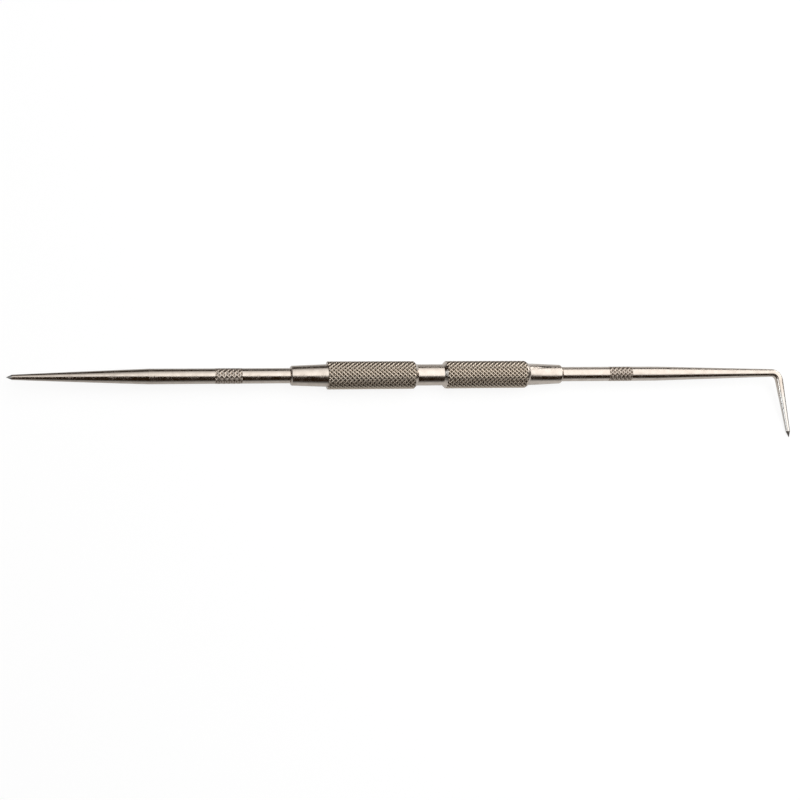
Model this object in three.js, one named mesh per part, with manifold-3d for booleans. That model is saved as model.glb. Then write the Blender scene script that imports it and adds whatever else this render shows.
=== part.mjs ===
// Double-ended scriber: a knurled handle with a straight point screwed into one end and a bent
// point screwed into the other. Sizes are in millimetres and angles in degrees.
// The tool lies along X with its straight point towards -X. It rests on its two grips and on the
// arm of the bent point, which lies towards -Y. The origin is under the middle of the whole tool.
import * as THREE from 'three';
import { mergeVertices } from 'three/addons/utils/BufferGeometryUtils.js';
import Module from 'manifold-3d';

const wasm = await Module();
wasm.setup();
const { clamp, degToRad, lerp } = THREE.MathUtils;

// Handle: nose, grip, neck, grip, nose, turned on one bar
const gripDiameter = 7.94;
const gripLength = 25.95;
const neckDiameter = 6.1;
const neckLength = 7.7;
const noseLength = 10.35;
const noseRootDiameter = 6.38;
const noseEndDiameter = 5.57;
const straightNoseChamfer = 0.3;

// Ends of the grips, measured along the axis
const gripEdgeBreak = 0.15;
const knurledInnerChamfer = 1;
const smoothInnerChamfer = 0.9;
const knurledOuterChamfer = 1.3;
const knurledOuterCrown = 0.12;

// Diamond knurl: ridges that cross, with a pit in each diamond
const gripKnurlPitch = 1.31;
const gripKnurlDepth = 0.27;
const bandKnurlPitch = 1.4;
const bandKnurlDepth = 0.22;

// Screwed seats: a tail on each point goes into a tapped hole in each nose
const tailDiameter = 3.2;
const tailLength = 9;
const tailChamfer = 0.4;
const reliefDiameter = 2.5;
const reliefLength = 1;
const threadClearance = 0.1;
const holeSpareDepth = 1.2;
const drillPointAngle = 118;
const mouthChamfer = 0.1;
const cutOvershoot = 0.1;
const shoulderChamfer = 0.2;
const seatClearance = 0.05;

// Shank of each point, and the knurled band that the fingers turn it by
const shankDiameter = 4.25;
const bandDiameter = 4.35;
const straightBandPlace = 13.4;
const bentBandPlace = 14.9;
const bandLength = 7.4;

// Straight point, measured from its shoulder
const straightTaperPlace = 38.5;
const straightLength = 75.2;
const straightTipLength = 1.5;
const straightTipDiameter = 1.4;
const straightTaperCrown = 0.03;

// Bent point: turned straight, then bent by a little less than a right angle
const bentTaperPlace = 30.7;
const bendPlace = 69.6;
const bendDiameter = 2.4;
const bendRadius = 2.5;
const bendAngle = 87;
const armLength = 18;
const armTipLength = 1.9;
const armTipDiameter = 1.3;

// Facets
const turningSegments = 40;
const curveSteps = 6;
const bendSteps = 12;

const nickelPlate = { color: 0xcfc6b8, metalness: 1, roughness: 0.24 };
const knurledNickel = { color: 0xb9ae9d, metalness: 1, roughness: 0.32 };

/** Changes a closed three.js geometry into a solid that can be joined and cut. */
function solidFrom(geometry) {
  geometry.deleteAttribute('normal');
  geometry.deleteAttribute('uv');
  const merged = mergeVertices(geometry, 1e-5);
  const corners = merged.index.array;
  const triangles = [];
  for (let first = 0; first < corners.length; first += 3) {
    const [a, b, c] = corners.slice(first, first + 3);
    if (a !== b && b !== c && c !== a) {
      triangles.push(a, b, c);
    }
  }
  return new wasm.Manifold(new wasm.Mesh({
    numProp: 3,
    vertProperties: new Float32Array(merged.attributes.position.array),
    triVerts: new Uint32Array(triangles),
  }));
}

/** Makes the named mesh of a finished solid. */
function meshFrom(name, solid, finish) {
  const { vertProperties, triVerts } = solid.getMesh();
  const geometry = new THREE.BufferGeometry();
  geometry.setAttribute('position', new THREE.BufferAttribute(vertProperties, 3));
  geometry.setIndex(new THREE.BufferAttribute(triVerts, 1));
  geometry.computeVertexNormals();
  const mesh = new THREE.Mesh(geometry, new THREE.MeshStandardMaterial(finish));
  mesh.name = name;
  return mesh;
}

/** Turns an outline of [place, radius] pairs about the X axis. It starts and ends on the axis. */
function turned(outline) {
  const profile = outline.map(([place, radius]) => new THREE.Vector2(radius, place));
  const geometry = new THREE.LatheGeometry(profile, turningSegments);
  geometry.rotateZ(-Math.PI / 2);
  return solidFrom(geometry);
}

/** Part of an outline between two [place, radius] pairs, which stands proud of a straight line by a crown. */
function crowned([startPlace, startRadius], [endPlace, endRadius], crown) {
  return Array.from({ length: curveSteps + 1 }, (_, step) => {
    const share = step / curveSteps;
    const proud = 4 * crown * share * (1 - share);
    return [lerp(startPlace, endPlace, share), lerp(startRadius, endRadius, share) + proud];
  });
}

/** Part of an outline that rounds the end of a bar down to a smaller radius at its end face. */
function roundedEnd(endPlace, barRadius, faceRadius) {
  const round = barRadius - faceRadius;
  return Array.from({ length: curveSteps + 1 }, (_, step) => {
    const angle = (Math.PI / 2) * (step / curveSteps);
    return [endPlace - round + round * Math.sin(angle), faceRadius + round * Math.cos(angle)];
  });
}

/**
 * A bar along X from 0 to at least the length, whose surface is a diamond knurl. Ridges cross at
 * the full radius, half a pitch apart along the bar, and the pits lie between them.
 */
function knurledBar(diameter, pitch, depth, length) {
  const starts = Math.round((Math.PI * diameter) / pitch);
  const rowStep = (Math.PI * diameter) / starts / 2;
  const rows = Math.ceil(length / rowStep);
  const around = 2 * starts;
  const positions = [];
  const faces = [];
  for (let row = 0; row <= rows; row += 1) {
    for (let place = 0; place < around; place += 1) {
      const isPit = (row + place) % 2 === 1;
      const radius = diameter / 2 - (isPit ? depth : 0);
      const angle = (2 * Math.PI * place) / around;
      positions.push(row * rowStep, radius * Math.cos(angle), radius * Math.sin(angle));
    }
  }
  const corner = (row, place) => row * around + ((place + around) % around);
  for (let row = 0; row <= rows; row += 1) {
    for (let place = 0; place < around; place += 1) {
      if ((row + place) % 2 === 1) {
        const pit = corner(row, place);
        const before = corner(row, place - 1);
        const after = corner(row, place + 1);
        if (row < rows) {
          const ahead = corner(row + 1, place);
          faces.push(pit, ahead, before, pit, after, ahead);
        }
        if (row > 0) {
          const behind = corner(row - 1, place);
          faces.push(pit, before, behind, pit, behind, after);
        }
      }
    }
  }
  const startCentre = positions.length / 3;
  positions.push(0, 0, 0, rows * rowStep, 0, 0);
  for (let place = 0; place < around; place += 1) {
    faces.push(startCentre, corner(0, place + 1), corner(0, place));
    faces.push(startCentre + 1, corner(rows, place), corner(rows, place + 1));
  }
  const geometry = new THREE.BufferGeometry();
  geometry.setAttribute('position', new THREE.Float32BufferAttribute(positions, 3));
  geometry.setIndex(faces);
  return solidFrom(geometry);
}

/** A knurled bar, a pitch too long at each end, turned down to an outline such as chamfered ends. */
function knurledTo(outline, place, length, diameter, pitch, depth) {
  const bar = knurledBar(diameter, pitch, depth, length + 2 * pitch).translate([place - pitch, 0, 0]);
  return bar.intersect(turned(outline));
}

/** The handle, with its middle at the origin and the straight point's end towards -X. */
function makeHandle() {
  const gripRadius = gripDiameter / 2;
  const neckRadius = neckDiameter / 2;
  const noseRoot = noseRootDiameter / 2;
  const noseEnd = noseEndDiameter / 2;
  const clearOfKnurl = gripRadius + gripKnurlDepth;
  const innerEnd = neckLength / 2;
  const outerEnd = innerEnd + gripLength;

  const innerChamferSlope = knurledInnerChamfer / (gripRadius - neckRadius);
  const straightGrip = knurledTo([
    [-outerEnd, 0],
    [-outerEnd, gripRadius - gripEdgeBreak],
    [-outerEnd + gripEdgeBreak, gripRadius],
    [-outerEnd + gripEdgeBreak, clearOfKnurl],
    [-innerEnd - innerChamferSlope * (clearOfKnurl - neckRadius), clearOfKnurl],
    [-innerEnd, neckRadius],
    [-innerEnd, 0],
  ], -outerEnd, gripLength, gripDiameter, gripKnurlPitch, gripKnurlDepth);

  const bentGrip = knurledTo([
    [innerEnd + smoothInnerChamfer, 0],
    [innerEnd + smoothInnerChamfer, clearOfKnurl],
    [outerEnd - knurledOuterChamfer, clearOfKnurl],
    ...crowned([outerEnd - knurledOuterChamfer, gripRadius], [outerEnd, noseRoot], knurledOuterCrown),
    [outerEnd, 0],
  ], innerEnd, gripLength, gripDiameter, gripKnurlPitch, gripKnurlDepth);

  const bentEnd = outerEnd + noseLength;
  const straightEnd = -bentEnd;
  const bar = turned([
    [straightEnd, 0],
    [straightEnd, noseEnd - straightNoseChamfer],
    [straightEnd + straightNoseChamfer, noseEnd],
    [-outerEnd, noseRoot],
    [-outerEnd + gripEdgeBreak, neckRadius],
    [innerEnd, neckRadius],
    [innerEnd + smoothInnerChamfer, gripRadius],
    [innerEnd + smoothInnerChamfer, neckRadius],
    [outerEnd - gripEdgeBreak, neckRadius],
    [outerEnd, noseRoot],
    ...roundedEnd(bentEnd, noseEnd, shankDiameter / 2),
    [bentEnd, 0],
  ]);

  const hole = turned(tappedHole());
  const straightHole = hole.rotate([0, 0, 180]).translate([straightEnd, 0, 0]);
  const bentHole = hole.translate([bentEnd, 0, 0]);
  const solid = bar.add(straightGrip).add(bentGrip).subtract(straightHole).subtract(bentHole);
  return { solid, straightEnd, bentEnd };
}

/** Outline of the hole in a nose, whose mouth is at 0 and whose drilled end lies towards -X. */
function tappedHole() {
  const radius = tailDiameter / 2 + threadClearance;
  const depth = tailLength + holeSpareDepth;
  const drillPoint = radius / Math.tan(degToRad(drillPointAngle / 2));
  return [
    [-depth - drillPoint, 0],
    [-depth, radius],
    [-mouthChamfer, radius],
    [cutOvershoot, radius + mouthChamfer + cutOvershoot],
    [cutOvershoot, 0],
  ];
}

/** Outline of a tail and the shoulder at 0 that seats on the nose. */
function tailOutline() {
  const tail = tailDiameter / 2;
  return [
    [-tailLength, 0],
    [-tailLength, tail - tailChamfer],
    [-tailLength + tailChamfer, tail],
    [-reliefLength - tailChamfer, tail],
    [-reliefLength, reliefDiameter / 2],
    [0, reliefDiameter / 2],
    [0, shankDiameter / 2 - shoulderChamfer],
    [shoulderChamfer, shankDiameter / 2],
  ];
}

/** A turned point with its finger band. The outline goes on from the band, and shape moves its vertices. */
function pointWithBand(outline, bandPlace, shape = () => {}) {
  const underPits = bandDiameter / 2 - 2 * bandKnurlDepth;
  const clearOfKnurl = bandDiameter / 2 + bandKnurlDepth;
  const bandEnd = bandPlace + bandLength;
  const blank = turned([
    ...tailOutline(),
    [bandPlace, shankDiameter / 2],
    [bandPlace, underPits],
    [bandEnd, underPits],
    [bandEnd, shankDiameter / 2],
    ...outline,
  ]).warp(shape);
  const band = knurledTo([
    [bandPlace, 0],
    [bandPlace, clearOfKnurl],
    [bandEnd, clearOfKnurl],
    [bandEnd, 0],
  ], bandPlace, bandLength, bandDiameter, bandKnurlPitch, bandKnurlDepth);
  return blank.add(band);
}

/** The straight point along +X, with its shoulder at the origin. */
function makeStraightPoint() {
  const taperStart = [straightTaperPlace, shankDiameter / 2];
  const taperEnd = [straightLength - straightTipLength, straightTipDiameter / 2];
  return pointWithBand([
    ...crowned(taperStart, taperEnd, straightTaperCrown),
    [straightLength, 0],
  ], straightBandPlace);
}

/** Places along the bend at which a straight blank needs a ring of points. */
function bendRings() {
  const spacing = (bendRadius * degToRad(bendAngle)) / bendSteps;
  const radius = bendDiameter / 2;
  return Array.from({ length: bendSteps + 1 }, (_, step) => [bendPlace + spacing * step, radius]);
}

/** Moves a vertex of the straight blank to where it lies once the arm is bent towards -Y. */
function bendVertex(vertex) {
  const [place, side] = vertex;
  const fullAngle = degToRad(bendAngle);
  const angle = clamp((place - bendPlace) / bendRadius, 0, fullAngle);
  const beyond = Math.max(place - bendPlace - bendRadius * fullAngle, 0);
  if (place > bendPlace) {
    vertex[0] = bendPlace + (bendRadius + side) * Math.sin(angle) + beyond * Math.cos(angle);
    vertex[1] = -bendRadius + (bendRadius + side) * Math.cos(angle) - beyond * Math.sin(angle);
  }
}

/** The bent point along +X, with its shoulder at the origin and its arm towards -Y. */
function makeBentPoint() {
  const rings = bendRings();
  const armStart = rings.at(-1)[0];
  const tipPlace = armStart + armLength - armTipLength;
  return pointWithBand([
    [bentTaperPlace, shankDiameter / 2],
    ...rings,
    [tipPlace, armTipDiameter / 2],
    [armStart + armLength, 0],
  ], bentBandPlace, bendVertex);
}

/** How far the bent point turns about the axis so that its arm rests on what carries the grips. */
function restingAngle() {
  const turn = degToRad(bendAngle);
  const toCorner = bendRadius * (1 - Math.cos(turn));
  const toTip = toCorner + armLength * Math.sin(turn);
  const toTipCone = toCorner + (armLength - armTipLength) * Math.sin(turn);
  const gripRadius = gripDiameter / 2;
  const tipRadius = armTipDiameter / 2;
  const onTip = Math.asin(gripRadius / toTip);
  const edgeAngle = Math.atan2(tipRadius, toTipCone);
  const onTipCone = Math.asin(gripRadius / Math.hypot(toTipCone, tipRadius)) - edgeAngle;
  return Math.min(onTip, onTipCone);
}

const { solid: handleSolid, straightEnd, bentEnd } = makeHandle();
const handle = meshFrom('handle', handleSolid, knurledNickel);

const straightPoint = meshFrom('straight_point', makeStraightPoint(), nickelPlate);
straightPoint.position.x = straightEnd - seatClearance;
straightPoint.rotation.z = Math.PI;

const bentPoint = meshFrom('bent_point', makeBentPoint(), nickelPlate);
bentPoint.position.x = bentEnd + seatClearance;
bentPoint.rotation.x = restingAngle();

const scriber = new THREE.Group();
scriber.add(handle, straightPoint, bentPoint);
const reach = new THREE.Box3().setFromObject(scriber, true);
const middle = reach.getCenter(new THREE.Vector3());
scriber.position.set(-middle.x, -middle.y, -reach.min.z);

export default scriber;
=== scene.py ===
"""A double-ended scriber in nickel-plated steel, lying on a white table under a softbox."""

import logging
import math
from dataclasses import dataclass
from enum import Enum
from typing import Callable, Sequence

import bmesh
import bpy
from mathutils import Euler, Matrix, Vector


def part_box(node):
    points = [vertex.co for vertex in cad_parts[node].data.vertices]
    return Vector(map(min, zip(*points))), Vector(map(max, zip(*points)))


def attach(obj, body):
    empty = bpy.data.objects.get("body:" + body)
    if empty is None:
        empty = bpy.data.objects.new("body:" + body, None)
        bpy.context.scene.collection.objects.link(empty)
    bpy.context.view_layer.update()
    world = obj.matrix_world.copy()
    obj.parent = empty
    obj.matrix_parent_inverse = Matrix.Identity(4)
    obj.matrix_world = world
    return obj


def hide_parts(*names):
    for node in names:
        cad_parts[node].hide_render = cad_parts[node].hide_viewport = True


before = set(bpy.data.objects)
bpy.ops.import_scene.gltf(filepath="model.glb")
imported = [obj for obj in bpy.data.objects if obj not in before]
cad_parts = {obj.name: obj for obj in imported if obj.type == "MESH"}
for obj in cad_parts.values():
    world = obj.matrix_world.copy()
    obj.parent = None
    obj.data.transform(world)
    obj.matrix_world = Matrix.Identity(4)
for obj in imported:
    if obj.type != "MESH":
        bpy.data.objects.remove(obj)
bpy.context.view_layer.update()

log = logging.getLogger("scriber")

MM = 0.001
WHITE = (1.0, 1.0, 1.0, 1.0)

# How finely the solids are made. The distances are in millimetres.
TURNING_STEPS = 144
SHARP_EDGE = math.radians(32)
MERGE_DISTANCE = 1e-4
SUPPORT_DISTANCE = 0.12
LONG_LINE = 4 * SUPPORT_DISTANCE

# Half the side of the flat sheet that a knurl is rolled from, before it gets its size.
HALF_SHEET = 0.5

# The reach of a glow across the flat face that it lies on, where any value gives the same light.
FLAT_REACH = 100.0

OutlinePoint = tuple[float, float]
Outline = Sequence[OutlinePoint]


class Join(Enum):
    """How two closed solids are put together."""

    ADD = "UNION"
    KEEP_COMMON = "INTERSECT"


class Finish(Enum):
    """The place of each finish in a piece's list of materials."""

    TURNED = 0
    KNURLED = 1
    GROUND = 2


def to_linear(hex_colour: str) -> tuple[float, float, float, float]:
    """Changes an sRGB hex colour to the linear values that shaders take.

    Args:
        hex_colour: Six hex digits after a hash sign.

    Returns:
        Linear red, green and blue, and full opacity.
    """
    channels = [int(hex_colour[place : place + 2], 16) / 255 for place in (1, 3, 5)]
    linear = [c / 12.92 if c <= 0.04045 else ((c + 0.055) / 1.055) ** 2.4 for c in channels]
    return (linear[0], linear[1], linear[2], 1.0)


def add_node(tree: bpy.types.NodeTree, kind: str, settings: dict | None = None,
             inputs: dict | None = None) -> bpy.types.Node:
    """Adds a shader node with its settings, values and links.

    Args:
        tree: The node tree that takes the node.
        kind: The node's type name.
        settings: Attributes to set on the node.
        inputs: A value or an output socket for each input, by name or place.

    Returns:
        The new node.
    """
    node = tree.nodes.new(kind)
    for name, value in (settings or {}).items():
        setattr(node, name, value)
    for name, value in (inputs or {}).items():
        if isinstance(value, bpy.types.NodeSocket):
            tree.links.new(value, node.inputs[name])
        else:
            node.inputs[name].default_value = value
    return node


def new_material(name: str) -> tuple[bpy.types.Material, bpy.types.NodeTree]:
    """Makes an empty node material.

    Args:
        name: The material's name.

    Returns:
        The material and its node tree.
    """
    material = bpy.data.materials.new(name)
    material.use_nodes = True
    material.node_tree.nodes.clear()
    return material, material.node_tree


@dataclass(frozen=True)
class ToolAxis:
    """The line that the tool is turned about, in millimetres."""

    y: float
    z: float

    @classmethod
    def from_frame(cls) -> "ToolAxis":
        """Reads the axis from the handle's box."""
        low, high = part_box("handle")
        return cls((low.y + high.y) / 2 / MM, (low.z + high.z) / 2 / MM)


@dataclass(frozen=True)
class TurnedNickel:
    """Bright nickel plate over lathe-turned steel.

    The plate levels most of the turning marks, which leaves a soft mirror with faint rings, and it
    is a little cloudy where it is thicker. Real feed marks are finer than the camera can see from
    here, so the rings are drawn as coarse as they need to show. The bent arm was buffed on its own,
    so its plate is less yellow than that along the tool's axis.
    """

    name: str = "nickel_plate_over_turned_steel"
    colour: str = "#DCD3C9"
    cloud_colour: str = "#C1B5A9"
    buffed_colour: str = "#D6D1CB"
    buffed_from_y_mm: float = 4.0
    buffed_fully_y_mm: float = -1.0
    roughness: float = 0.16
    cloud_roughness: float = 0.32
    cloud_size_mm: float = 2.0
    clear_below: float = 0.35
    cloudy_above: float = 0.7
    ring_spacing_mm: float = 0.35
    ring_stretch: float = 60.0
    ring_height_mm: float = 0.006

    def build(self) -> bpy.types.Material:
        """Makes the material.

        Returns:
            The material.
        """
        material, tree = new_material(self.name)
        place = add_node(tree, "ShaderNodeTexCoord").outputs["Object"]
        clouds = add_node(tree, "ShaderNodeTexNoise", {"noise_dimensions": "3D"},
                          {"Vector": place, "Scale": 1 / (self.cloud_size_mm * MM), "Detail": 3.0})
        roughness = add_node(tree, "ShaderNodeMapRange", None,
                             {"Value": clouds.outputs["Fac"],
                              "From Min": self.clear_below, "From Max": self.cloudy_above,
                              "To Min": self.roughness, "To Max": self.cloud_roughness})
        clouded = add_node(tree, "ShaderNodeMix", {"data_type": "RGBA"},
                           {"Factor": clouds.outputs["Fac"], "A": to_linear(self.colour),
                            "B": to_linear(self.cloud_colour)})
        sides = add_node(tree, "ShaderNodeSeparateXYZ", None, {"Vector": place})
        buffing = add_node(tree, "ShaderNodeMapRange", {"interpolation_type": "SMOOTHSTEP"},
                           {"Value": sides.outputs["Y"], "From Min": self.buffed_from_y_mm * MM,
                            "From Max": self.buffed_fully_y_mm * MM})
        colour = add_node(tree, "ShaderNodeMix", {"data_type": "RGBA"},
                          {"Factor": buffing.outputs["Result"], "A": clouded.outputs["Result"],
                           "B": to_linear(self.buffed_colour)})
        ring_scale = 1 / (self.ring_spacing_mm * MM)
        round_scale = ring_scale / self.ring_stretch
        along = add_node(tree, "ShaderNodeMapping", None,
                         {"Vector": place, "Scale": (ring_scale, round_scale, round_scale)})
        rings = add_node(tree, "ShaderNodeTexNoise", None,
                         {"Vector": along.outputs["Vector"], "Scale": 1.0, "Detail": 2.0})
        bump = add_node(tree, "ShaderNodeBump", None,
                        {"Height": rings.outputs["Fac"], "Distance": self.ring_height_mm * MM,
                         "Strength": 1.0})
        surface = add_node(tree, "ShaderNodeBsdfPrincipled", None,
                           {"Base Color": colour.outputs["Result"], "Metallic": 1.0,
                            "Roughness": roughness.outputs["Result"], "Normal": bump.outputs["Normal"]})
        add_node(tree, "ShaderNodeOutputMaterial", None, {"Surface": surface.outputs["BSDF"]})
        return material


@dataclass(frozen=True)
class KnurledNickel:
    """Nickel plate over rolled knurling.

    The pits are painted a dark brown that stands partly for painted shade down in them and partly
    for a film of old oil and dust, while the ridges keep the plate's colour. How far up the dark
    reaches changes from patch to patch.
    """

    name: str
    crest_radius_mm: float
    depth_mm: float
    ridge_colour: str = "#CABDAD"
    pit_shade_and_dirt_colour: str = "#4E402E"
    ridge_roughness: float = 0.24
    pit_roughness: float = 0.45
    bright_share: float = 0.25
    patch_size_mm: float = 3.0
    patch_contrast: float = 0.5
    patch_shift: float = -0.2

    def build(self) -> bpy.types.Material:
        """Makes the material.

        Returns:
            The material.
        """
        material, tree = new_material(self.name)
        axis = ToolAxis.from_frame()
        bright_depth_mm = self.depth_mm * self.bright_share
        place = add_node(tree, "ShaderNodeTexCoord").outputs["Object"]
        across = add_node(tree, "ShaderNodeMapping", None,
                          {"Vector": place, "Location": (0.0, -axis.y * MM, -axis.z * MM)})
        flat = add_node(tree, "ShaderNodeVectorMath", {"operation": "MULTIPLY"},
                        {0: across.outputs["Vector"], 1: (0.0, 1.0, 1.0)})
        radius = add_node(tree, "ShaderNodeVectorMath", {"operation": "LENGTH"},
                          {0: flat.outputs["Vector"]})
        # Painted shade: the colour runs from the pit colour at the bottom of the pits to the ridge colour
        # near the crests. It stands partly for the shade in the pits and partly for oil and dust.
        ridge = add_node(tree, "ShaderNodeMapRange", {"interpolation_type": "SMOOTHSTEP"},
                         {"Value": radius.outputs["Value"],
                          "From Min": (self.crest_radius_mm - self.depth_mm) * MM,
                          "From Max": (self.crest_radius_mm - bright_depth_mm) * MM})
        patches = add_node(tree, "ShaderNodeTexNoise", None,
                           {"Vector": place, "Scale": 1 / (self.patch_size_mm * MM), "Detail": 3.0})
        wear = add_node(tree, "ShaderNodeMath", {"operation": "MULTIPLY_ADD", "use_clamp": True},
                        {0: patches.outputs["Fac"], 1: self.patch_contrast, 2: self.patch_shift})
        clean_and_unshaded = add_node(tree, "ShaderNodeMath", {"operation": "ADD", "use_clamp": True},
                         {0: ridge.outputs["Result"], 1: wear.outputs["Value"]})
        colour = add_node(tree, "ShaderNodeMix", {"data_type": "RGBA"},
                          {"Factor": clean_and_unshaded.outputs["Value"], "A": to_linear(self.pit_shade_and_dirt_colour),
                           "B": to_linear(self.ridge_colour)})
        roughness = add_node(tree, "ShaderNodeMapRange", None,
                             {"Value": clean_and_unshaded.outputs["Value"], "To Min": self.pit_roughness,
                              "To Max": self.ridge_roughness})
        surface = add_node(tree, "ShaderNodeBsdfPrincipled", None,
                           {"Base Color": colour.outputs["Result"], "Metallic": 1.0,
                            "Roughness": roughness.outputs["Result"]})
        add_node(tree, "ShaderNodeOutputMaterial", None, {"Surface": surface.outputs["BSDF"]})
        return material


@dataclass(frozen=True)
class GroundSteel:
    """Bare tool steel, ground to a point after plating.

    The wheel leaves a fine grain and a greyer, duller shine than the plate beside it. Real grit
    marks are finer than the camera can see from here, so the grain is drawn as coarse as it needs
    to show.
    """

    name: str = "ground_tool_steel"
    colour: str = "#8F8A84"
    roughness: float = 0.32
    grain_size_mm: float = 0.15
    grain_height_mm: float = 0.004

    def build(self) -> bpy.types.Material:
        """Makes the material.

        Returns:
            The material.
        """
        material, tree = new_material(self.name)
        place = add_node(tree, "ShaderNodeTexCoord").outputs["Object"]
        grain = add_node(tree, "ShaderNodeTexNoise", None,
                         {"Vector": place, "Scale": 1 / (self.grain_size_mm * MM), "Detail": 2.0})
        bump = add_node(tree, "ShaderNodeBump", None,
                        {"Height": grain.outputs["Fac"], "Distance": self.grain_height_mm * MM,
                         "Strength": 1.0})
        surface = add_node(tree, "ShaderNodeBsdfPrincipled", None,
                           {"Base Color": to_linear(self.colour), "Metallic": 1.0,
                            "Roughness": self.roughness, "Normal": bump.outputs["Normal"]})
        add_node(tree, "ShaderNodeOutputMaterial", None, {"Surface": surface.outputs["BSDF"]})
        return material


def between(start: OutlinePoint, end: OutlinePoint, share: float) -> OutlinePoint:
    """Finds the point that lies a share of the way from one point to another."""
    return (start[0] + (end[0] - start[0]) * share, start[1] + (end[1] - start[1]) * share)


def supported(outline: Outline) -> list[OutlinePoint]:
    """Adds a point close to both ends of each long line, so that a corner's shading stays at the corner.

    Args:
        outline: The outline.

    Returns:
        The outline with its extra points.
    """
    points = [outline[0]]
    for start, end in zip(outline, outline[1:]):
        length = math.dist(start, end)
        if length > LONG_LINE:
            for share in (SUPPORT_DISTANCE / length, 1 - SUPPORT_DISTANCE / length):
                points.append(between(start, end, share))
        points.append(end)
    return points


def turned(outline: Outline) -> bmesh.types.BMesh:
    """Turns an outline about the X axis into a closed solid.

    Args:
        outline: Place along the axis and radius of each point. It starts and ends on the axis.

    Returns:
        The solid, in millimetres.
    """
    bm = bmesh.new()
    points = [bm.verts.new((place, 0.0, radius)) for place, radius in supported(outline)]
    edges = [bm.edges.new(pair) for pair in zip(points, points[1:])]
    bmesh.ops.spin(bm, geom=points + edges, cent=(0, 0, 0), axis=(1, 0, 0), dvec=(0, 0, 0),
                   angle=math.tau, steps=TURNING_STEPS, use_merge=True, use_duplicate=False)
    return closed(bm, Finish.TURNED)


def closed(bm: bmesh.types.BMesh, finish: Finish) -> bmesh.types.BMesh:
    """Merges doubled points, turns the faces outwards and gives them a finish.

    Args:
        bm: The mesh to tidy, which is changed.
        finish: The finish of all its faces.

    Returns:
        The same mesh.
    """
    bmesh.ops.remove_doubles(bm, verts=bm.verts, dist=MERGE_DISTANCE)
    bmesh.ops.dissolve_degenerate(bm, edges=bm.edges, dist=MERGE_DISTANCE)
    bmesh.ops.recalc_face_normals(bm, faces=bm.faces)
    for face in bm.faces:
        face.material_index = finish.value
    return bm


def add_object(bm: bmesh.types.BMesh, name: str) -> bpy.types.Object:
    """Puts a mesh into the scene as an object.

    Args:
        bm: The mesh, which is used up.
        name: The object's name.

    Returns:
        The object.
    """
    mesh = bpy.data.meshes.new(name)
    bm.to_mesh(mesh)
    bm.free()
    obj = bpy.data.objects.new(name, mesh)
    bpy.context.scene.collection.objects.link(obj)
    return obj


def joined(base: bmesh.types.BMesh, other: bmesh.types.BMesh, how: Join) -> bmesh.types.BMesh:
    """Joins one closed solid to another, or keeps only what they share.

    Args:
        base: The solid to work on, which is used up.
        other: The solid to work with, which is used up.
        how: Whether the other solid is added, or only the space that both fill is kept.

    Returns:
        The new solid.
    """
    target, tool = add_object(base, "blank"), add_object(other, "blank")
    step = target.modifiers.new("join", "BOOLEAN")
    step.operation = how.value
    step.solver = "EXACT"
    step.material_mode = "INDEX"
    step.object = tool
    graph = bpy.context.evaluated_depsgraph_get()
    result = bpy.data.meshes.new_from_object(target.evaluated_get(graph))
    bm = bmesh.new()
    bm.from_mesh(result)
    # Removing a mesh removes the object that has it.
    for mesh in (target.data, tool.data, result):
        bpy.data.meshes.remove(mesh)
    bmesh.ops.remove_doubles(bm, verts=bm.verts, dist=MERGE_DISTANCE)
    return bm


def crowned(start: OutlinePoint, end: OutlinePoint, crown: float, steps: int = 16) -> list[OutlinePoint]:
    """Works out a stretch of outline that stands proud of a straight line.

    Args:
        start: Place and radius of its first point.
        end: Place and radius of its last point.
        crown: How far its middle stands proud.
        steps: How many parts it has.

    Returns:
        Its points.
    """
    points = []
    for step in range(steps + 1):
        share = step / steps
        place, radius = between(start, end, share)
        points.append((place, radius + 4 * crown * share * (1 - share)))
    return points


def rounded(end_place: float, bar_radius: float, face_radius: float,
            steps: int = 10) -> list[OutlinePoint]:
    """Works out the outline of a bar's end that is rounded down to its end face.

    Args:
        end_place: Place of the end face.
        bar_radius: Radius of the bar.
        face_radius: Radius of the flat end face.
        steps: How many parts the round has.

    Returns:
        Its points, from the bar to the face.
    """
    size = bar_radius - face_radius
    angles = [math.pi / 2 * step / steps for step in range(steps + 1)]
    return [(end_place - size + size * math.sin(a), face_radius + size * math.cos(a)) for a in angles]


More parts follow.
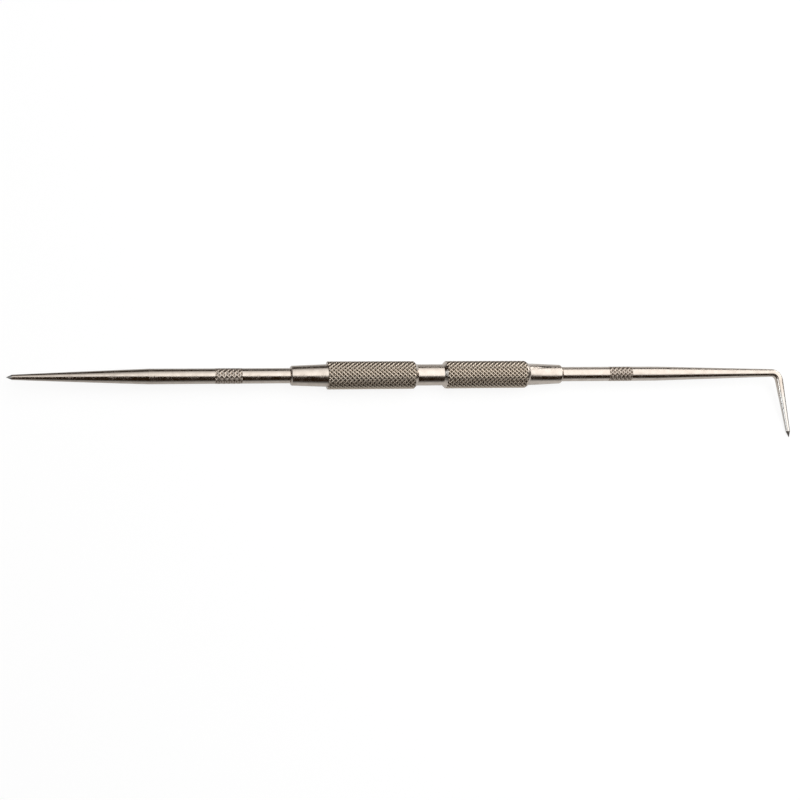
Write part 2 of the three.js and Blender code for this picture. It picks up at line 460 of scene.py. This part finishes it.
@dataclass(frozen=True)
class Knurl:
    """A rolled diamond knurl: two sets of round-topped ridges that cross, with a pit in each diamond.

    The ridge profile is the steps that press a pit. Each is a share of the half diamond inwards and
    a share of the depth down.
    """

    diameter: float
    pitch: float
    depth: float
    ridge_profile: tuple[tuple[float, float], ...] = (
        (0.08, 0.03), (0.12, 0.13), (0.25, 0.30), (0.25, 0.30), (0.18, 0.24))

    @property
    def starts(self) -> int:
        """How many ridges of each hand go round the bar."""
        return round(math.pi * self.diameter / self.pitch)

    @property
    def cell(self) -> float:
        """Distance between ridges of one hand, round the bar and along it."""
        return math.pi * self.diameter / self.starts

    def bar(self, start: float, length: float) -> bmesh.types.BMesh:
        """Makes a knurled bar along X that reaches past both ends of a length.

        Args:
            start: Place where the length starts.
            length: The length that is needed.

        Returns:
            A closed solid.
        """
        rows = math.ceil(length / self.cell) + 2
        bm = bmesh.new()
        bmesh.ops.create_grid(bm, x_segments=rows, y_segments=self.starts, size=HALF_SHEET)
        centres = set(bmesh.ops.poke(bm, faces=bm.faces)["verts"])
        self._wrap(bm, start - self.cell, rows * self.cell)
        bmesh.ops.remove_doubles(bm, verts=bm.verts, dist=MERGE_DISTANCE)
        square_edges = [edge for edge in bm.edges
                        if len(edge.link_faces) == 2 and not any(vert in centres for vert in edge.verts)]
        bmesh.ops.dissolve_edges(bm, edges=square_edges, use_verts=False, use_face_split=False)
        self._press_pits(bm)
        ends = [edge for edge in bm.edges if len(edge.link_faces) == 1]
        bmesh.ops.holes_fill(bm, edges=ends, sides=0)
        return closed(bm, Finish.KNURLED)

    def _wrap(self, bm: bmesh.types.BMesh, start: float, length: float) -> None:
        """Rolls a unit square sheet into a tube along X.

        Args:
            bm: The sheet, which is changed.
            start: Place of the tube's first end.
            length: The tube's length.
        """
        radius = self.diameter / 2
        for vert in bm.verts:
            angle = math.tau * vert.co.y
            place = start + (vert.co.x + HALF_SHEET) * length
            vert.co = Vector((place, radius * math.sin(angle), radius * math.cos(angle)))

    def _press_pits(self, bm: bmesh.types.BMesh) -> None:
        """Presses a pit into each diamond, in steps that leave rounded ridges.

        Args:
            bm: The tube of diamonds, which is changed.
        """
        bmesh.ops.recalc_face_normals(bm, faces=bm.faces)
        diamonds = list(bm.faces)
        # A diamond is a square on its corner, a cell wide from corner to corner.
        half_diamond = self.cell / math.sqrt(8)
        for width, drop in self.ridge_profile:
            bmesh.ops.inset_individual(bm, faces=diamonds, thickness=width * half_diamond,
                                       depth=-drop * self.depth, use_even_offset=True)


@dataclass(frozen=True)
class Thread:
    """A V thread cut on a tail."""

    diameter: float
    pitch: float = 0.635
    depth: float = 0.36
    foot_share: float = 0.92
    crest_share: float = 0.12
    overlap: float = 0.05
    steps_a_turn: int = 48

    def ridge(self, start: float, length: float) -> bmesh.types.BMesh:
        """Makes the thread's helical ridge as a closed solid.

        Args:
            start: Place where the ridge starts.
            length: Length that it covers.

        Returns:
            The ridge.
        """
        crest = self.diameter / 2
        foot = crest - self.depth - self.overlap
        half = self.pitch * self.foot_share / 2
        flat = self.pitch * self.crest_share / 2
        profile = ((-half, foot), (-flat, crest), (flat, crest), (half, foot))
        turns = (length - self.pitch) / self.pitch
        steps = round(turns * self.steps_a_turn)
        bm = bmesh.new()
        corners = [bm.verts.new((start + self.pitch / 2 + place, 0.0, radius)) for place, radius in profile]
        first = bm.faces.new(corners)
        bmesh.ops.spin(bm, geom=[first, *first.edges, *first.verts], cent=(0, 0, 0), axis=(1, 0, 0),
                       dvec=(self.pitch * turns / steps, 0, 0), angle=math.tau * turns, steps=steps,
                       use_merge=False, use_duplicate=False)
        ends = [edge for edge in bm.edges if len(edge.link_faces) == 1]
        if ends:
            bmesh.ops.holes_fill(bm, edges=ends, sides=0)
        return closed(bm, Finish.TURNED)


def place_piece(bm: bmesh.types.BMesh, name: str, part: str, place: Matrix,
                finishes: Sequence[bpy.types.Material]) -> bpy.types.Object:
    """Puts a finished mesh into the scene in place of its CAD node.

    Args:
        bm: The mesh in millimetres, which is used up.
        name: The piece's name.
        part: The CAD node that it stands for, and the body of that name that it rides on.
        place: Where the piece lies, in millimetres.
        finishes: The materials, in the order of Finish.

    Returns:
        The piece.
    """
    bmesh.ops.transform(bm, matrix=Matrix.Scale(MM, 4) @ place, verts=bm.verts)
    for face in bm.faces:
        face.smooth = True
    piece = add_object(bm, name)
    for material in finishes:
        piece.data.materials.append(material)
    piece.data.set_sharp_from_angle(angle=SHARP_EDGE)
    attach(piece, part)
    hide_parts(part)
    return piece


@dataclass
class Handle:
    """The turned handle: nose, knurled grip, neck, knurled grip, nose, with a screw hole in each end.

    Sizes are in millimetres. The parts reach into each other by the overlap before they are joined.
    """

    grip_diameter: float = 7.94
    grip: float = 25.95
    knurl_pitch: float = 1.31
    knurl_depth: float = 0.27
    neck_diameter: float = 6.1
    neck: float = 7.7
    nose: float = 10.35
    nose_root: float = 6.38
    nose_end: float = 5.57
    nose_chamfer: float = 0.3
    rounded_face: float = 4.25
    edge_break: float = 0.15
    knurled_inner_chamfer: float = 1.0
    smooth_inner_chamfer: float = 0.9
    knurled_outer_chamfer: float = 1.3
    outer_crown: float = 0.12
    overlap: float = 0.3
    hole_diameter: float = 3.4
    hole_depth: float = 10.2
    drill_point: float = 1.02
    mouth_chamfer: float = 0.2

    @property
    def knurl(self) -> Knurl:
        """The knurl of both grips."""
        return Knurl(self.grip_diameter, self.knurl_pitch, self.knurl_depth)

    @property
    def neck_middle(self) -> float:
        """Place of the neck's middle, from the handle's box."""
        low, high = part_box("handle")
        return (low.x + high.x) / 2 / MM

    def _hole(self, mouth: float, inwards: int) -> list[OutlinePoint]:
        """Works out the outline of a screw hole, from its drilled end to its mouth.

        Args:
            mouth: Place of the mouth.
            inwards: 1 where the hole runs towards +X, and -1 where it runs towards -X.

        Returns:
            Its points.
        """
        radius = self.hole_diameter / 2
        return [
            (mouth + inwards * (self.hole_depth + self.drill_point), 0.0),
            (mouth + inwards * self.hole_depth, radius),
            (mouth + inwards * self.mouth_chamfer / 2, radius),
            (mouth, radius + self.mouth_chamfer / 2),
        ]

    def _bar(self) -> bmesh.types.BMesh:
        """Makes the plain bar that carries the grips.

        Returns:
            The bar, which reaches a little way into each grip.
        """
        inner, under = self.neck / 2, self.overlap
        straight_grip_end = -inner - self.grip
        bent_grip_end = inner + self.grip
        straight_end = straight_grip_end - self.nose
        bent_end = bent_grip_end + self.nose
        neck, root, tip = self.neck_diameter / 2, self.nose_root / 2, self.nose_end / 2
        root_inside = root + (root - tip) / self.nose * under
        return turned([
            *self._hole(straight_end, 1),
            (straight_end, tip - self.nose_chamfer),
            (straight_end + self.nose_chamfer, tip),
            (straight_grip_end + under, root_inside),
            (straight_grip_end + under, neck),
            (bent_grip_end - under, neck),
            (bent_grip_end - under, root_inside),
            *rounded(bent_end, tip, self.rounded_face / 2),
            *reversed(self._hole(bent_end, -1)),
        ])

    def _chamfer(self, end: float, length: float, foot: float, side: int) -> list[OutlinePoint]:
        """Works out a straight chamfer that runs a little past both of its edges.

        Args:
            end: Place of the grip's end.
            length: Length of the chamfer along the axis.
            foot: Radius at the grip's end.
            side: 1 where the grip's end faces +X, and -1 where it faces -X.

        Returns:
            Its points, from the grip to its end.
        """
        slope = (self.grip_diameter / 2 - foot) / length
        inside, outside = length + self.overlap, self.overlap
        return [
            (end - side * inside, foot + slope * inside),
            (end + side * outside, foot - slope * outside),
        ]

    def _straight_grip(self) -> bmesh.types.BMesh:
        """Makes the grip beside the straight point, cut square outside and chamfered inside.

        Returns:
            The grip.
        """
        end = -self.neck / 2
        start = end - self.grip
        crest = self.grip_diameter / 2
        inner = self._chamfer(end, self.knurled_inner_chamfer, self.neck_diameter / 2, 1)
        shape = turned([
            (start, 0.0),
            (start, crest - self.edge_break),
            (start + 2 * self.edge_break, inner[0][1]),
            *inner,
            (inner[1][0], 0.0),
        ])
        return joined(self.knurl.bar(start, end - start + self.overlap), shape, Join.KEEP_COMMON)

    def _bent_grip(self) -> bmesh.types.BMesh:
        """Makes the grip beside the bent point, with a rounded outer chamfer.

        Returns:
            The grip.
        """
        start = self.neck / 2
        end = start + self.grip
        crest, root = self.grip_diameter / 2, self.nose_root / 2
        inner = self._chamfer(start, self.smooth_inner_chamfer, self.neck_diameter / 2, -1)
        outer = self._chamfer(end, self.knurled_outer_chamfer, root, 1)
        shape = turned([
            (inner[1][0], 0.0),
            *reversed(inner),
            (outer[0][0], inner[0][1]),
            *crowned((end - self.knurled_outer_chamfer, crest), (end, root), self.outer_crown),
            outer[1],
            (outer[1][0], 0.0),
        ])
        return joined(self.knurl.bar(inner[1][0], outer[1][0] - inner[1][0]), shape, Join.KEEP_COMMON)

    def build(self, finishes: Sequence[bpy.types.Material]) -> bpy.types.Object:
        """Builds the handle.

        Args:
            finishes: The materials, in the order of Finish.

        Returns:
            The handle.
        """
        solid = joined(self._bar(), self._straight_grip(), Join.ADD)
        solid = joined(solid, self._bent_grip(), Join.ADD)
        axis = ToolAxis.from_frame()
        place = Matrix.Translation((self.neck_middle, axis.y, axis.z))
        return place_piece(solid, "knurled_handle", "handle", place, finishes)


@dataclass
class Point:
    """What both points share: the threaded tail, the shank and the knurled finger band.

    Sizes are in millimetres, and places are measured from the shoulder that seats on the handle.
    """

    shank: float = 4.25
    tail: float = 3.2
    tail_length: float = 9.0
    tail_chamfer: float = 0.4
    relief: float = 2.5
    relief_length: float = 1.0
    shoulder_chamfer: float = 0.2
    band_place: float = 13.4
    band_length: float = 7.4
    band_diameter: float = 4.35
    band_pitch: float = 1.4
    band_depth: float = 0.22
    band_sink: float = 0.02
    band_ramp: float = 0.2
    band_overlap: float = 0.5
    core: float = 3.4
    core_overlap: float = 0.1
    tip_radius: float = 0.04

    @property
    def band(self) -> Knurl:
        """The finger band's knurl."""
        return Knurl(self.band_diameter, self.band_pitch, self.band_depth)

    @property
    def thread(self) -> Thread:
        """The tail's thread."""
        return Thread(self.tail)

    def _tail(self) -> list[OutlinePoint]:
        """Works out the outline of the tail and shoulder.

        Returns:
            Its points, from the tail's end.
        """
        root = self.tail / 2 - self.thread.depth
        return [
            (-self.tail_length, 0.0),
            (-self.tail_length, root - self.tail_chamfer / 2),
            (-self.tail_length + self.tail_chamfer / 2, root),
            (-self.relief_length, root),
            (-self.relief_length, self.relief / 2),
            (0.0, self.relief / 2),
            (0.0, self.shank / 2 - self.shoulder_chamfer),
            (self.shoulder_chamfer, self.shank / 2),
        ]

    def _blank(self, beyond: Outline, shape: Callable[[Vector], Vector]) -> bmesh.types.BMesh:
        """Makes the whole point without its thread and knurl.

        Args:
            beyond: The outline from the band to the tip.
            shape: Where each vertex of the straight blank goes.

        Returns:
            The solid.
        """
        band_end = self.band_place + self.band_length
        radius = self.shank / 2
        bm = turned([
            *self._tail(),
            (self.band_place, radius),
            (self.band_place, self.core / 2),
            (band_end, self.core / 2),
            (band_end, radius),
            *beyond,
        ])
        for vert in bm.verts:
            vert.co = shape(vert.co)
        return bm

    def _finger_band(self) -> bmesh.types.BMesh:
        """Makes the knurled band, whose ends go down into the shank.

        Returns:
            The band, which reaches a little way into the rest of the point.
        """
        band_end = self.band_place + self.band_length
        start, end = self.band_place - self.band_overlap, band_end + self.band_overlap
        clear = self.band_diameter / 2 + self.band_depth
        edge = self.shank / 2 - self.band_sink
        buried = self.core / 2 - self.core_overlap
        shape = turned([
            (start, 0.0),
            (start, buried),
            (self.band_place, edge),
            (self.band_place + self.band_ramp, clear),
            (band_end - self.band_ramp, clear),
            (band_end, edge),
            (end, buried),
            (end, 0.0),
        ])
        return joined(self.band.bar(start, end - start), shape, Join.KEEP_COMMON)

    def solid(self, beyond: Outline,
              shape: Callable[[Vector], Vector] = lambda place: place) -> bmesh.types.BMesh:
        """Makes the whole point.

        Args:
            beyond: The outline from the band to the tip.
            shape: Where each vertex of the straight blank goes.

        Returns:
            The solid along +X, with its shoulder at the origin.
        """
        ridge = self.thread.ridge(-self.tail_length, self.tail_length - self.relief_length)
        solid = joined(self._blank(beyond, shape), self._finger_band(), Join.ADD)
        return joined(solid, ridge, Join.ADD)


@dataclass
class StraightPoint(Point):
    """The straight point, which tapers over half its length to a ground tip."""

    taper_place: float = 38.5
    length: float = 75.2
    tip_length: float = 1.5
    tip_diameter: float = 1.4
    taper_crown: float = 0.03

    def build(self, finishes: Sequence[bpy.types.Material]) -> bpy.types.Object:
        """Builds the straight point.

        Args:
            finishes: The materials, in the order of Finish.

        Returns:
            The straight point.
        """
        taper_end = self.length - self.tip_length
        taper = crowned((self.taper_place, self.shank / 2), (taper_end, self.tip_diameter / 2),
                        self.taper_crown)
        solid = self.solid([
            *taper,
            (self.length - self.tip_radius, self.tip_radius),
            (self.length, 0.0),
        ])
        for face in solid.faces:
            if face.calc_center_median().x > taper_end:
                face.material_index = Finish.GROUND.value
        axis = ToolAxis.from_frame()
        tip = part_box("straight_point")[0].x / MM
        shoulder = Matrix.Translation((tip + self.length, axis.y, axis.z))
        place = shoulder @ Matrix.Rotation(math.pi, 4, "Z")
        return place_piece(solid, "straight_scribing_point", "straight_point",
                           place, finishes)


@dataclass
class BentPoint(Point):
    """The bent point: turned straight, then bent by nearly a right angle, with its arm on the table."""

    band_place: float = 14.9
    taper_place: float = 30.7
    bend_place: float = 69.6
    bend_diameter: float = 2.4
    bend_radius: float = 2.5
    bend_angle: float = math.radians(87)
    bend_steps: int = 28
    arm_length: float = 18.0
    tip_length: float = 1.9
    tip_diameter: float = 1.3

    @property
    def arm_start(self) -> float:
        """Place on the straight blank where the arm starts."""
        return self.bend_place + self.bend_radius * self.bend_angle

    def _bend(self, place: Vector) -> Vector:
        """Moves a point of the straight blank to where it lies once the arm is bent towards -Y.

        Args:
            place: The point.

        Returns:
            Where it goes.
        """
        if place.x <= self.bend_place:
            return place
        angle = min((place.x - self.bend_place) / self.bend_radius, self.bend_angle)
        beyond = max(place.x - self.arm_start, 0.0)
        reach = self.bend_radius + place.y
        return Vector((self.bend_place + reach * math.sin(angle) + beyond * math.cos(angle),
                       -self.bend_radius + reach * math.cos(angle) - beyond * math.sin(angle),
                       place.z))

    def _resting_angle(self) -> float:
        """Works out how far the point is turned so that its arm lies on the table.

        Returns:
            The angle at which either the tip or the edge of its ground cone comes down first.
        """
        to_arm = self.bend_radius * (1 - math.cos(self.bend_angle))
        to_tip = to_arm + self.arm_length * math.sin(self.bend_angle)
        to_cone = to_arm + (self.arm_length - self.tip_length) * math.sin(self.bend_angle)
        height = ToolAxis.from_frame().z
        radius = self.tip_diameter / 2
        on_cone = math.asin(height / math.hypot(to_cone, radius)) - math.atan2(radius, to_cone)
        return min(math.asin(height / to_tip), on_cone)

    def build(self, finishes: Sequence[bpy.types.Material]) -> bpy.types.Object:
        """Builds the bent point.

        Args:
            finishes: The materials, in the order of Finish.

        Returns:
            The bent point.
        """
        ring = self.bend_radius * self.bend_angle / self.bend_steps
        bend = [(self.bend_place + ring * step, self.bend_diameter / 2)
                for step in range(self.bend_steps + 1)]
        cone_start = self.arm_start + self.arm_length - self.tip_length
        solid = self.solid([
            (self.taper_place, self.shank / 2),
            *bend,
            (cone_start, self.tip_diameter / 2),
            (cone_start + self.tip_length - self.tip_radius, self.tip_radius),
            (cone_start + self.tip_length, 0.0),
        ], self._bend)
        cone_depth = self._bend(Vector((cone_start, 0.0, 0.0))).y
        for face in solid.faces:
            if face.calc_center_median().y < cone_depth:
                face.material_index = Finish.GROUND.value
        axis = ToolAxis.from_frame()
        tail_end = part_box("bent_point")[0].x / MM
        shoulder = Matrix.Translation((tail_end + self.tail_length, axis.y, axis.z))
        place = shoulder @ Matrix.Rotation(self._resting_angle(), 4, "X")
        return place_piece(solid, "bent_scribing_point", "bent_point", place, finishes)


@dataclass(frozen=True)
class SoftEdge:
    """A straight edge along which a light fades out, seen from above, in millimetres."""

    through: tuple[float, float]
    inwards: tuple[float, float]
    width: float

    def share(self, tree: bpy.types.NodeTree, place: bpy.types.NodeSocket) -> bpy.types.NodeSocket:
        """Adds the nodes that give the light's share at a place.

        Args:
            tree: The light's node tree.
            place: Where the light is looked at.

        Returns:
            0 outside the edge, rising to 1 at its width inside.
        """
        from_edge = add_node(tree, "ShaderNodeVectorMath", {"operation": "SUBTRACT"},
                             {0: place, 1: Vector((*self.through, 0.0)) * MM})
        inside = add_node(tree, "ShaderNodeVectorMath", {"operation": "DOT_PRODUCT"},
                          {0: from_edge.outputs["Vector"], 1: (*self.inwards, 0.0)})
        share = add_node(tree, "ShaderNodeMapRange", {"interpolation_type": "SMOOTHSTEP"},
                         {"Value": inside.outputs["Value"], "From Max": self.width * MM})
        return share.outputs["Result"]


@dataclass(frozen=True)
class Glow:
    """A lit patch of the room, such as a window or a lamp: an ellipsoid's worth of wall, in millimetres."""

    centre: tuple[float, float, float]
    reach: tuple[float, float, float]
    core: float
    level: float
    tone: str = "#FFFFFF"

    def light(self, tree: bpy.types.NodeTree, place: bpy.types.NodeSocket) -> bpy.types.NodeSocket:
        """Adds the nodes that give the patch's light at a place.

        Args:
            tree: The node tree of the wall or table that the patch is on.
            place: Where that is looked at.

        Returns:
            Full light as far as the core reaches, falling to none at the full reach.
        """
        from_centre = add_node(tree, "ShaderNodeVectorMath", {"operation": "SUBTRACT"},
                               {0: place, 1: Vector(self.centre) * MM})
        in_reaches = add_node(tree, "ShaderNodeVectorMath", {"operation": "DIVIDE"},
                              {0: from_centre.outputs["Vector"], 1: Vector(self.reach) * MM})
        away = add_node(tree, "ShaderNodeVectorMath", {"operation": "LENGTH"},
                        {0: in_reaches.outputs["Vector"]})
        strength = add_node(tree, "ShaderNodeMapRange", {"interpolation_type": "SMOOTHSTEP"},
                            {"Value": away.outputs["Value"], "From Min": 1.0, "From Max": self.core,
                             "To Min": 0.0, "To Max": self.level})
        tinted = add_node(tree, "ShaderNodeVectorMath", {"operation": "SCALE"},
                          {0: to_linear(self.tone)[:3], "Scale": strength.outputs["Result"]})
        return tinted.outputs["Vector"]


@dataclass
class Studio:
    """The white table, the softbox over it, the dark room with its lit windows, and the camera.

    Sizes are in millimetres. The two pools are what metal sees of the table round the tool.
    """

    table_size: float = 4000.0
    table_glow: float = 0.88
    table_paint: float = 0.2
    near_pool: Glow = Glow((263.0, 12.0, 0.0), (598.0, 42.0, FLAT_REACH), 0.44, 0.558)
    far_pool: Glow = Glow((225.0, 112.0, 0.0), (482.0, 112.0, FLAT_REACH), 0.24, 0.602)
    softbox_size: tuple[float, float] = (1700.0, 1300.0)
    softbox_place: tuple[float, float, float] = (50.0, 150.0, 498.0)
    softbox_level: float = 1.62
    softbox_left: SoftEdge = SoftEdge((-378.0, 0.0), (0.554, 0.833), 40.0)
    softbox_right: SoftEdge = SoftEdge((989.0, 0.0), (-0.993, 0.118), 158.0)
    softbox_front: SoftEdge = SoftEdge((300.0, -613.0), (-0.115, 0.993), 408.0)
    softbox_back: SoftEdge = SoftEdge((0.0, 1186.0), (0.842, -0.539), 728.0)
    room_radius: float = 900.0
    room_height: float = 500.0
    room_sides: int = 64
    room_level: float = 0.022
    room_tone: str = "#FFBB74"
    left_window: Glow = Glow((-900.0, 7.0, 460.0), (418.0, 418.0, 146.0), 0.73, 3.33, "#EEF7FF")
    right_window: Glow = Glow((783.0, 443.0, 258.0), (382.0, 382.0, 170.0), 0.53, 4.0)
    back_wall: Glow = Glow((-857.0, 275.0, 16.0), (418.0, 418.0, 130.0), 0.32, 0.598, "#FFEDE6")
    back_window: Glow = Glow((311.0, 844.0, 131.0), (264.0, 264.0, 213.0), 0.44, 0.515)
    front_lamp: Glow = Glow((-432.0, -402.0, 500.0), (137.0, 176.0, FLAT_REACH), 0.37, 3.21, "#FFF9F2")
    camera_place: tuple[float, float, float] = (-82.07, -112.76, 288.12)
    camera_turn: tuple[float, float, float] = (22.394, -12.283, -5.68)
    focal_length: float = 50.0
    sensor_width: float = 36.0
    clip_start: float = 10.0

    def _table(self) -> None:
        """Makes the table: white with the tool's shadow to the camera, and two pools of light to metal."""
        material, tree = new_material("white_table")
        place = add_node(tree, "ShaderNodeTexCoord").outputs["Object"]
        pools = add_node(tree, "ShaderNodeVectorMath", {"operation": "ADD"},
                         {0: self.near_pool.light(tree, place), 1: self.far_pool.light(tree, place)})
        path = add_node(tree, "ShaderNodeLightPath")
        in_metal = add_node(tree, "ShaderNodeMath", {"operation": "MAXIMUM"},
                            {0: path.outputs["Is Glossy Ray"], 1: path.outputs["Is Transmission Ray"]})
        metal_glow = add_node(tree, "ShaderNodeEmission", None,
                              {"Color": pools.outputs["Vector"], "Strength": in_metal.outputs["Value"]})
        white = add_node(tree, "ShaderNodeMath", {"operation": "MULTIPLY"},
                         {0: path.outputs["Is Camera Ray"], 1: self.table_glow})
        camera_glow = add_node(tree, "ShaderNodeEmission", None,
                               {"Color": WHITE, "Strength": white.outputs["Value"]})
        glow = add_node(tree, "ShaderNodeAddShader", None,
                        {0: camera_glow.outputs["Emission"], 1: metal_glow.outputs["Emission"]})
        paint = (self.table_paint, self.table_paint, self.table_paint, 1.0)
        card = add_node(tree, "ShaderNodeBsdfDiffuse", None, {"Color": paint})
        both = add_node(tree, "ShaderNodeAddShader", None,
                        {0: glow.outputs["Shader"], 1: card.outputs["BSDF"]})
        add_node(tree, "ShaderNodeOutputMaterial", None, {"Surface": both.outputs["Shader"]})
        bm = bmesh.new()
        bmesh.ops.create_grid(bm, x_segments=1, y_segments=1, size=self.table_size / 2 * MM)
        table = add_object(bm, "table")
        table.data.materials.append(material)

    def _room(self) -> None:
        """Makes the room, dark but for its windows, its back wall and a lamp."""
        material, tree = new_material("studio_walls")
        place = add_node(tree, "ShaderNodeTexCoord").outputs["Object"]
        light: bpy.types.NodeSocket | Vector = Vector(to_linear(self.room_tone)[:3]) * self.room_level
        patches = (self.left_window, self.right_window, self.back_window, self.back_wall, self.front_lamp)
        for patch in patches:
            both = add_node(tree, "ShaderNodeVectorMath", {"operation": "ADD"},
                            {0: patch.light(tree, place), 1: light})
            light = both.outputs["Vector"]
        glow = add_node(tree, "ShaderNodeEmission", None, {"Color": light, "Strength": 1.0})
        add_node(tree, "ShaderNodeOutputMaterial", None, {"Surface": glow.outputs["Emission"]})
        bm = bmesh.new()
        bmesh.ops.create_cone(bm, cap_ends=True, cap_tris=False, segments=self.room_sides,
                              radius1=self.room_radius * MM, radius2=self.room_radius * MM,
                              depth=self.room_height * MM)
        bmesh.ops.translate(bm, vec=(0, 0, self.room_height / 2 * MM), verts=bm.verts)
        floor = [face for face in bm.faces if face.calc_center_median().z < MM]
        bmesh.ops.delete(bm, geom=floor, context="FACES_ONLY")
        room = add_object(bm, "studio_walls")
        room.data.materials.append(material)
        room.visible_camera = False
        room.visible_diffuse = False
        room.visible_shadow = False

    def _softbox(self) -> None:
        """Hangs the softbox over the tool, with the soft edges that end its light on each side."""
        light = bpy.data.lights.new("softbox", "AREA")
        light.shape = "RECTANGLE"
        light.size, light.size_y = (side * MM for side in self.softbox_size)
        # This power makes the softbox as bright as its level, seen in a mirror.
        light.energy = self.softbox_level * math.pi * light.size * light.size_y
        light.use_nodes = True
        tree = light.node_tree
        tree.nodes.clear()
        place = add_node(tree, "ShaderNodeNewGeometry").outputs["Position"]
        strength: bpy.types.NodeSocket | float = 1.0
        for edge in (self.softbox_left, self.softbox_right, self.softbox_front, self.softbox_back):
            both = add_node(tree, "ShaderNodeMath", {"operation": "MULTIPLY"},
                            {0: edge.share(tree, place), 1: strength})
            strength = both.outputs["Value"]
        glow = add_node(tree, "ShaderNodeEmission", None, {"Color": WHITE, "Strength": strength})
        add_node(tree, "ShaderNodeOutputLight", None, {"Surface": glow.outputs["Emission"]})
        softbox = bpy.data.objects.new("softbox", light)
        softbox.location = Vector(self.softbox_place) * MM
        softbox.visible_camera = False
        bpy.context.scene.collection.objects.link(softbox)

    def _world(self) -> None:
        """Makes the world white to the camera, metal and glass, and dark as a light on the table."""
        world = bpy.data.worlds.new("white_room")
        bpy.context.scene.world = world
        world.use_nodes = True
        world.node_tree.nodes.clear()
        tree = world.node_tree
        path = add_node(tree, "ShaderNodeLightPath")
        seen = path.outputs["Is Camera Ray"]
        for way in ("Is Glossy Ray", "Is Transmission Ray"):
            either = add_node(tree, "ShaderNodeMath", {"operation": "MAXIMUM"},
                              {0: seen, 1: path.outputs[way]})
            seen = either.outputs["Value"]
        sky = add_node(tree, "ShaderNodeBackground", None, {"Color": WHITE, "Strength": seen})
        add_node(tree, "ShaderNodeOutputWorld", None, {"Surface": sky.outputs["Background"]})

    def _camera(self) -> None:
        """Sets up the camera at the photograph's angle."""
        data = bpy.data.cameras.new("camera")
        data.lens = self.focal_length
        data.sensor_width = self.sensor_width
        data.clip_start = self.clip_start * MM
        camera = bpy.data.objects.new("camera", data)
        camera.location = Vector(self.camera_place) * MM
        camera.rotation_euler = Euler([math.radians(angle) for angle in self.camera_turn])
        bpy.context.scene.collection.objects.link(camera)
        bpy.context.scene.camera = camera

    def build(self) -> None:
        """Builds the studio."""
        self._table()
        self._room()
        self._softbox()
        self._world()
        self._camera()
        bpy.context.scene.view_settings.view_transform = "Standard"


def triangle_count(piece: bpy.types.Object) -> int:
    """Counts the triangles that a piece's faces come to."""
    return sum(len(polygon.vertices) - 2 for polygon in piece.data.polygons)


def main() -> None:
    """Builds the scriber and the studio."""
    logging.basicConfig(level=logging.INFO, format="%(name)s: %(message)s")
    turned_nickel = TurnedNickel().build()
    ground = GroundSteel().build()
    handle, straight, bent = Handle(), StraightPoint(), BentPoint()
    grip = KnurledNickel("nickel_plate_over_rolled_grips", handle.grip_diameter / 2,
                         handle.knurl_depth).build()
    # The bands' shallow pits get a lighter painted shade and hold less oil, and their low ridges are worn
    # duller.
    band = KnurledNickel("nickel_plate_over_rolled_bands", straight.band_diameter / 2,
                         straight.band_depth, ridge_colour="#C3B7AB", pit_shade_and_dirt_colour="#97887A",
                         ridge_roughness=0.34).build()
    pieces = [
        handle.build([turned_nickel, grip, ground]),
        straight.build([turned_nickel, band, ground]),
        bent.build([turned_nickel, band, ground]),
    ]
    for piece in pieces:
        log.info("%s: %d triangles", piece.name, triangle_count(piece))
    Studio().build()


if __name__ == "__main__":
    main()
